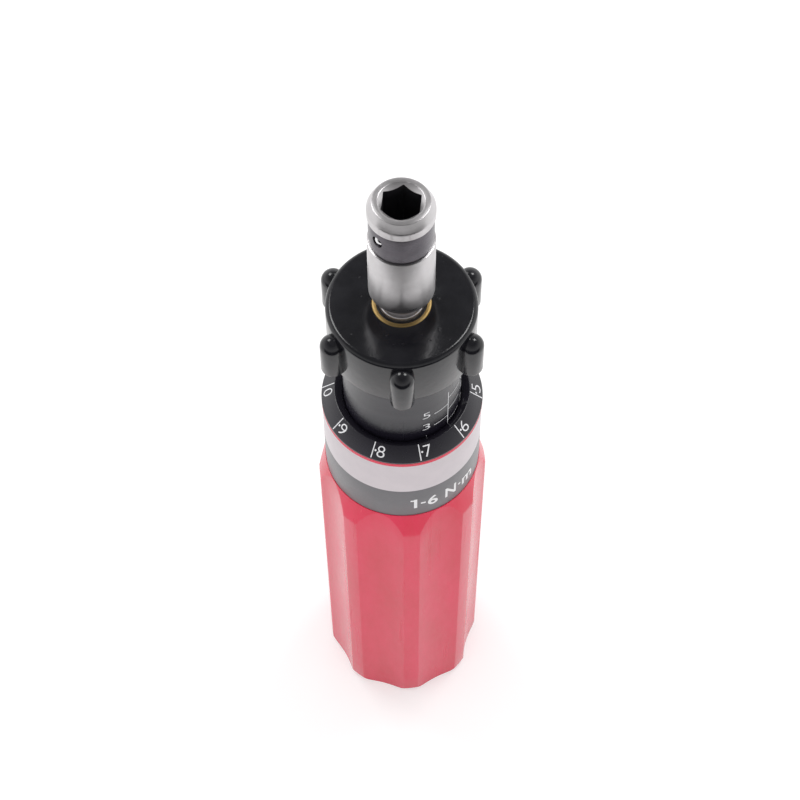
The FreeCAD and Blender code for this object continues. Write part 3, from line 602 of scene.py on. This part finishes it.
def label_wrap():
    bm = turned([(NECK_R + SEATED, LABEL_FOOT), (LABEL_R, LABEL_FOOT, 0.04), (LABEL_R, LABEL_TOP, 0.04),
                 (NECK_R + SEATED, LABEL_TOP)], closed=True, steps=180, sweep=360.0 - LABEL_SEAM,
                start=90 + LABEL_SEAM / 2)
    return piece("label_wrap", bm, "handle_body", FILM, ["range_label"])


def handle_end_cap():
    edge = SINK_R - SEATED
    bm = turned([(0, 0.2), (edge, 0.2, 0.3), (edge, 1.4), (0, 1.4)], steps=96)
    return piece("handle_end_cap", bm, "handle_body", RED, ["end_cap"])


# ------------------------------------------------------------------ dial, barrel and knob
def dial():
    edge = DIAL_TOP - (RIM_R - DIAL_FACE_R) * math.tan(DIAL_CONE)
    bm = turned([(DIAL_BORE_R, TUBE_TOP), (TUBE_TOP_R + SEATED, TUBE_TOP),
                 (TUBE_TOP_R + SEATED, TUBE_TOP - 6), (SLEEVE_R, TUBE_TOP - 6), (SLEEVE_R, TUBE_TOP),
                 (RIM_R, TUBE_TOP, 0.06), (RIM_R, edge, 0.12), (DIAL_FACE_R, DIAL_TOP, 0.12),
                 (DIAL_BORE_R, DIAL_TOP - DIAL_BEVEL, 0.1)], closed=True, steps=180)
    return piece("dial_face_ring", bm, "handle_body", ANODISED, ["dial_ring"])


def barrel():
    shoulder = BARREL_FOOT + 18.4
    web = BARREL_TOP - 6
    bm = turned([(BARREL_BORE_R, BARREL_FOOT), (THREAD_R - 0.3, BARREL_FOOT),
                 (THREAD_R, BARREL_FOOT + 0.3), (THREAD_R, shoulder), (BARREL_R, shoulder, 0.1),
                 (BARREL_R, BARREL_TOP), (BUSH_R + SEATED, BARREL_TOP), (BUSH_R + SEATED, web),
                 (BARREL_BORE_R, web)], closed=True, steps=180)
    return piece("scale_sleeve", bm, "adjuster", ANODISED, ["scale_barrel"])


def knob():
    """Moulded knob with six upright finger lugs."""
    recess = BARREL_R + SEATED
    bm = turned([(recess, SKIRT, 0.15), (KNOB_R, SKIRT, 0.3), (KNOB_R, KNOB_TOP, 1.0),
                 (BUSH_FLANGE_R + SEATED, KNOB_TOP, 0.15), (BUSH_FLANGE_R + SEATED, KNOB_TOP - 1.5),
                 (BUSH_R + SEATED, KNOB_TOP - 1.5), (BUSH_R + SEATED, BARREL_TOP),
                 (recess, BARREL_TOP)], closed=True, steps=180)
    low = SKIRT + 1
    high = KNOB_TOP - 1
    for k in range(6):
        lug = turned([(0, low), (LUG_R, low, 0.35), (LUG_R, high, LUG_R * 0.999), (0, high)], steps=64)
        angle = math.radians(-90 + 60 * k)
        bmesh.ops.translate(lug, verts=lug.verts,
                            vec=(LUG_CIRCLE_R * math.cos(angle), LUG_CIRCLE_R * math.sin(angle), 0))
        join(bm, lug)
    return piece("setting_knob", bm, "adjuster", BLACK, ["adjuster_knob"])


def bush():
    low = BARREL_TOP - 6
    step = KNOB_TOP - 1.5
    seat = KNOB_TOP - 1.95
    bore = SHANK_R + 0.03
    bm = turned([(bore, low), (BUSH_R, low), (BUSH_R, step), (BUSH_FLANGE_R, step),
                 (BUSH_FLANGE_R, KNOB_TOP, 0.15), (SEAL_R, KNOB_TOP, 0.1), (SEAL_R, seat), (bore, seat)],
                closed=True, steps=96)
    return piece("journal_bush", bm, "adjuster", BRASS, ["front_bush"])


def seal():
    low = KNOB_TOP - 1.95
    high = KNOB_TOP - 0.35
    bm = turned([(SHANK_R + 0.03, low), (SEAL_R - SEATED, low), (SEAL_R - SEATED, high, 0.12),
                 (SHANK_R + 0.03, high, 0.12)], closed=True, steps=96)
    return piece("journal_seal", bm, "adjuster", RUBBER, ["shaft_seal"])


# ------------------------------------------------------------------ spindle
def spindle():
    """Shank, journal, necked head and hexagon socket."""
    tail = foot("drive_spindle")
    cam = foot("clutch_cam")
    journal = KNOB_TOP + 0.7
    head = TIP - HEAD_LENGTH
    groove_top = TIP - COLLAR_LENGTH
    groove = groove_top - GROOVE_WIDTH
    tail_r = SHANK_R - 1
    bm = turned([(0, tail), (tail_r - 0.4, tail), (tail_r, tail + 0.4), (tail_r, cam), (SHANK_R, cam),
                 (SHANK_R, journal, 0.3), (NECK_UNDERCUT_R, journal), (NECK_UNDERCUT_R, head),
                 (HEAD_R - 0.4, head), (HEAD_R, head + 0.4), (HEAD_R, groove, 0.12), (GROOVE_R, groove),
                 (GROOVE_R, groove_top), (COLLAR_R, groove_top, 0.12), (COLLAR_R, TIP - NOSE_BEVEL, 0.2),
                 (NOSE_R, TIP, 0.12), (MOUTH_R, TIP, 0.08), (0, TIP - MOUTH_R)], steps=144)
    socket = bmesh.new()
    corner_r = HEX_AF / 2 / math.cos(math.radians(30))
    bmesh.ops.create_cone(socket, cap_ends=True, segments=6, radius1=corner_r, radius2=corner_r,
                          depth=HEX_DEPTH + 4)
    upright = [edge for edge in socket.edges if abs(edge.verts[0].co.z - edge.verts[1].co.z) > 1]
    bmesh.ops.bevel(socket, geom=upright, offset=0.16, affect="EDGES", segments=3, profile=0.5, material=-1)
    first = min(socket.verts, key=lambda vertex: abs(math.atan2(vertex.co.y, vertex.co.x)))
    lean = 0.0 if abs(first.co.y) < 0.5 and first.co.x > HEX_AF / 2 + 0.1 else 30.0
    bmesh.ops.rotate(socket, verts=socket.verts, cent=(0, 0, 0),
                     matrix=Matrix.Rotation(math.radians(HEX_ANGLE + lean), 3, "Z"))
    bmesh.ops.translate(socket, verts=socket.verts, vec=(0, 0, TIP - HEX_DEPTH / 2 + 2))
    pocket = turned([(0, -BALL_R - 0.03), (BALL_R + 0.03, -BALL_R - 0.03, BALL_R + 0.02),
                     (BALL_R + 0.03, 2), (0, 2)], steps=48)
    point_outwards(pocket, BALL_SEAT_R, BALL_ANGLE, TIP - BALL_DROP)
    bm = cut(bm, socket, pocket)
    made = piece("socket_spindle", bm, "spindle", STEEL, ["drive_spindle"], crease=28)
    # The walls inside the hexagon socket take the darker finish, which is painted shade in the recess.
    made.data.materials.append(PAINTED_SHADE_BORE)
    for face in made.data.polygons:
        reach = math.hypot(face.center.x, face.center.y)
        deep = face.center.z < (TIP - 0.3) * MM and face.center.z > (TIP - HEX_DEPTH - 3) * MM
        if reach < HEX_AF * 0.585 * MM and deep and abs(face.normal.z) < 0.6:
            face.material_index = 1
    return made


def spring_band():
    """Slit band that holds the ball, with the ball's hole."""
    high = TIP - COLLAR_LENGTH - SEATED
    low = TIP - COLLAR_LENGTH - GROOVE_WIDTH + SEATED
    inner = GROOVE_R + SEATED
    swell = [(BAND_R + BAND_SWELL * (1 - (2 * k / 10 - 1) ** 2), low + (high - low) * k / 10)
             for k in range(1, 10)]
    bm = turned([(inner, low), (BAND_R, low, 0.06), *swell, (BAND_R, high, 0.06), (inner, high)],
                closed=True, steps=160, sweep=360.0 - BAND_SLIT, start=BALL_ANGLE + 180 + BAND_SLIT / 2)
    hole = turned([(0, -2), (BAND_HOLE_R, -2), (BAND_HOLE_R, 4), (0, 4)], steps=48)
    point_outwards(hole, BALL_SEAT_R, BALL_ANGLE, TIP - BALL_DROP)
    bm = cut(bm, hole)
    return piece("ball_band", bm, "spindle", BLUED, ["bit_retaining_band"])


def ball():
    bm = turned([(0, -BALL_R), (BALL_R, -BALL_R, BALL_R * 0.999), (BALL_R, BALL_R, BALL_R * 0.999),
                 (0, BALL_R)], steps=64)
    bmesh.ops.remove_doubles(bm, verts=bm.verts, dist=0.003)
    point_outwards(bm, BALL_SEAT_R, BALL_ANGLE, TIP - BALL_DROP)
    return piece("bit_ball_dome", bm, "bit_ball", CHROME, ["bit_retaining_ball"])


# ------------------------------------------------------------------ marks
def figure_one(height, stroke):
    """A one: an upright with a short flag."""
    bm = bar(stroke, height)
    flag = bar(stroke * 1.1, stroke * 0.8)
    bmesh.ops.translate(flag, verts=flag.verts, vec=(-stroke, height / 2 - stroke * 0.75, 0))
    join(bm, flag)
    return bm


def character(text, width, height, weight):
    """One character as a flat face of a given size, centred, and cut fine enough to bend."""
    if text == "1":
        return figure_one(height, height * (0.09 + weight * 4))
    curve = bpy.data.curves.new("character", "FONT")
    curve.body = text
    curve.offset = weight
    curve.resolution_u = 8
    holder = bpy.data.objects.new("character", curve)
    scene.collection.objects.link(holder)
    graph = bpy.context.evaluated_depsgraph_get()
    mesh = bpy.data.meshes.new_from_object(holder.evaluated_get(graph))
    bpy.data.objects.remove(holder)
    bm = bmesh.new()
    bm.from_mesh(mesh)
    bpy.data.meshes.remove(mesh)
    across = [vertex.co.x for vertex in bm.verts]
    upward = [vertex.co.y for vertex in bm.verts]
    middle = Vector(((min(across) + max(across)) / 2, (min(upward) + max(upward)) / 2, 0))
    bmesh.ops.translate(bm, verts=bm.verts, vec=-middle)
    bmesh.ops.scale(bm, verts=bm.verts, vec=(width / (max(across) - min(across)),
                                             height / (max(upward) - min(upward)), 1))
    slice_across(bm, width)
    return bm


def slice_across(bm, width):
    """Cut a flat shape at every 0.2 mm of its width."""
    count = max(2, round(width / 0.2))
    for k in range(1, count):
        bmesh.ops.bisect_plane(bm, geom=bm.verts[:] + bm.edges[:] + bm.faces[:], dist=1e-5,
                               plane_co=(width * (k / count - 0.5), 0, 0), plane_no=(1, 0, 0))


def bar(width, height):
    """A flat stroke, centred."""
    bm = bmesh.new()
    bmesh.ops.create_grid(bm, x_segments=1, y_segments=4, size=0.5)
    bmesh.ops.scale(bm, verts=bm.verts, vec=(width, height, 1))
    slice_across(bm, width)
    return bm


def dot(size):
    bm = bmesh.new()
    bmesh.ops.create_circle(bm, cap_ends=True, segments=20, radius=size / 2)
    return bm


def round_wall(bm, radius, angle, height):
    """Bend a flat shape round the axis, with its middle at an angle and a height."""
    for vertex in bm.verts:
        turn = math.radians(angle) + vertex.co.x / radius
        vertex.co = (radius * math.cos(turn), radius * math.sin(turn), height + vertex.co.y)
    return bm


def on_dial(bm, angle, lift=0.0):
    """Lay a flat shape on the dial's sloping face, with its top towards the axis."""
    for vertex in bm.verts:
        reach = DIAL_MID_R - vertex.co.y * math.cos(DIAL_CONE)
        turn = math.radians(angle) + vertex.co.x / DIAL_MID_R
        height = DIAL_TOP - (reach - DIAL_FACE_R) * math.tan(DIAL_CONE) + INK + lift
        vertex.co = (reach * math.cos(turn), reach * math.sin(turn), height)
    return bm


def dial_marks():
    """Ten divisions, each with its line and its tenth."""
    marks = bmesh.new()
    width = (RIM_R - DIAL_FACE_R) / math.cos(DIAL_CONE)
    for tenth in range(10):
        angle = -76.8 + (7 - tenth) * 36
        line = bar(0.2, width - 0.25)
        bmesh.ops.translate(line, verts=line.verts, vec=(0, (DIAL_MID_R - (RIM_R + DIAL_FACE_R) / 2) / math.cos(DIAL_CONE), 0))
        join(marks, on_dial(line, angle))
        if tenth:
            join(marks, on_dial(dot(0.4), angle + 1.9))
        join(marks, on_dial(character(str(tenth), 1.5, 2.2, -0.012), angle + 6.3))
    return piece("dial_marks", marks, "handle_body", WHITE_PAINT)


def barrel_marks():
    """Datum line and the scale of whole units, odd on its left and even on its right."""
    marks = bmesh.new()
    radius = BARREL_R + INK
    datum = -40.4
    low = DIAL_TOP - 4.5
    high = 116.4
    join(marks, round_wall(bar(0.17, high - low), radius, datum, (low + high) / 2))
    for unit in range(1, 7):
        height = 114.49 - (6 - unit) * 2
        odd = unit % 2 == 1
        span = 17.6 if odd else 20.0
        side = -1 if odd else 1
        line = bar(math.radians(span) * radius, 0.17)
        join(marks, round_wall(line, radius, datum + side * span / 2, height))
        numeral = character(str(unit), 1.5, 1.9, -0.012)
        join(marks, round_wall(numeral, radius, datum + side * (span + 8.3), height + 0.6))
    return piece("barrel_marks", marks, "adjuster", WHITE_PAINT)


def label_print():
    """The range and its unit, in plain bold letters."""
    letters = bmesh.new()
    radius = LABEL_R + INK
    height = LABEL_FOOT + 4.45
    plan = [("1", 9.4, 1.3, 3.4, 0), ("6", 22.6, 2.1, 3.4, 0), ("N", 37.8, 2.65, 3.4, 0),
            ("m", 55.4, 3.3, 2.5, -0.45)]
    for text, angle, width, tall, drop in plan:
        join(letters, round_wall(character(text, width, tall, 0.024), radius, angle - 90, height + drop))
    join(letters, round_wall(bar(1.0, 0.55), radius, 15.2 - 90, height - 0.1))
    join(letters, round_wall(dot(0.7), radius, 46.2 - 90, height))
    return piece("label_print", letters, "handle_body", WHITE_PRINT)


handle_grip()
label_wrap()
handle_end_cap()
dial()
barrel()
knob()
bush()
seal()
spindle()
spring_band()
ball()
dial_marks()
barrel_marks()
label_print()


# ------------------------------------------------------------------ floor, light and camera
TABLE_FRONT = 0.16       # metres from the axis to the table's front edge


def floor():
    """Pale table top, which shows white and keeps the shadow."""
    bm = bmesh.new()
    bmesh.ops.create_grid(bm, x_segments=1, y_segments=1, size=3.0)
    bmesh.ops.translate(bm, verts=bm.verts, vec=(0, 3.0 - TABLE_FRONT, 0))
    made = plain_object("table_top", bm)
    material = bpy.data.materials.new("pale table")
    material.use_nodes = True
    tree = material.node_tree
    tree.nodes.remove(tree.nodes["Principled BSDF"])
    path = add(tree, "ShaderNodeLightPath").outputs
    seen = sums(tree, "MAXIMUM", path["Is Camera Ray"], path["Is Glossy Ray"])
    seen = sums(tree, "MAXIMUM", seen, path["Is Transmission Ray"])
    matt = add(tree, "ShaderNodeBsdfDiffuse", {"Color": (0.62, 0.62, 0.62, 1)}).outputs[0]
    glow = add(tree, "ShaderNodeEmission", {"Color": (1, 1, 1, 1),
                                            "Strength": sums(tree, "MULTIPLY", seen, 0.45)}).outputs[0]
    both = add(tree, "ShaderNodeAddShader", {0: matt, 1: glow}).outputs[0]
    tree.links.new(both, tree.nodes["Material Output"].inputs["Surface"])
    made.data.materials.append(material)


def studio():
    """Room: bright near the horizon, dim overhead, white where the camera sees it."""
    world = bpy.data.worlds.new("studio")
    scene.world = world
    world.use_nodes = True
    tree = world.node_tree
    shader = tree.nodes["Background"]
    shader.inputs["Color"].default_value = (1, 1, 1, 1)
    path = add(tree, "ShaderNodeLightPath").outputs
    way = add(tree, "ShaderNodeTexCoord").outputs["Generated"]
    split = add(tree, "ShaderNodeSeparateXYZ", {0: way}).outputs
    overhead = add(tree, "ShaderNodeMapRange", {"Value": split[2], "From Min": 0.2, "From Max": 0.8,
                                                "To Min": 1.3, "To Max": 0.2}).outputs[0]
    behind = add(tree, "ShaderNodeMapRange", {"Value": split[1], "From Min": -0.8, "From Max": 0.2,
                                              "To Min": 0.55, "To Max": 1.0}).outputs[0]
    glossy = sums(tree, "MULTIPLY", overhead, behind)
    above = add(tree, "ShaderNodeMapRange", {"Value": split[2], "From Min": -0.1, "From Max": 0.05}).outputs[0]
    front = add(tree, "ShaderNodeMapRange", {"Value": split[1], "From Min": -0.5, "From Max": -0.2}).outputs[0]
    glossy = sums(tree, "MULTIPLY", glossy, sums(tree, "MAXIMUM", above, front))
    seen = add(tree, "ShaderNodeMix", {0: path["Is Glossy Ray"], 2: 0.88, 3: glossy}).outputs[0]
    white = sums(tree, "MAXIMUM", path["Is Camera Ray"], path["Is Transmission Ray"])
    level = add(tree, "ShaderNodeMix", {0: white, 2: seen, 3: 1.0}).outputs[0]
    tree.links.new(level, shader.inputs["Strength"])


def soft_box(name, direction, distance, size, power):
    light = bpy.data.lights.new(name, "AREA")
    light.shape = "SQUARE"
    light.size = size
    light.energy = power
    lamp = bpy.data.objects.new(name, light)
    scene.collection.objects.link(lamp)
    aim = Vector((0, 0, 0.11))
    way = Vector(direction).normalized()
    lamp.location = aim + way * distance
    lamp.rotation_euler = way.to_track_quat("Z", "Y").to_euler()


def camera():
    lens = bpy.data.cameras.new("camera")
    lens.lens = 84.6
    lens.sensor_width = 36.0
    lens.clip_start = 0.01
    made = bpy.data.objects.new("camera", lens)
    scene.collection.objects.link(made)
    made.location = (-0.0004, -0.1875, 0.408)
    forward = Vector((0, 0.5225, -0.8526)).normalized()
    level = forward.to_track_quat("-Z", "Y").to_matrix().to_4x4()
    roll = Matrix.Rotation(math.radians(-0.37), 4, "Z")
    made.matrix_world = Matrix.Translation(made.location) @ level @ roll
    scene.camera = made


floor()
studio()
soft_box("soft_box_left", (-0.40, 0.41, 0.82), 0.7, 0.22, 1.0)
soft_box("soft_box_right", (0.39, 0.34, 0.86), 0.7, 0.2, 1.0)
camera()
scene.view_settings.view_transform = "Standard"
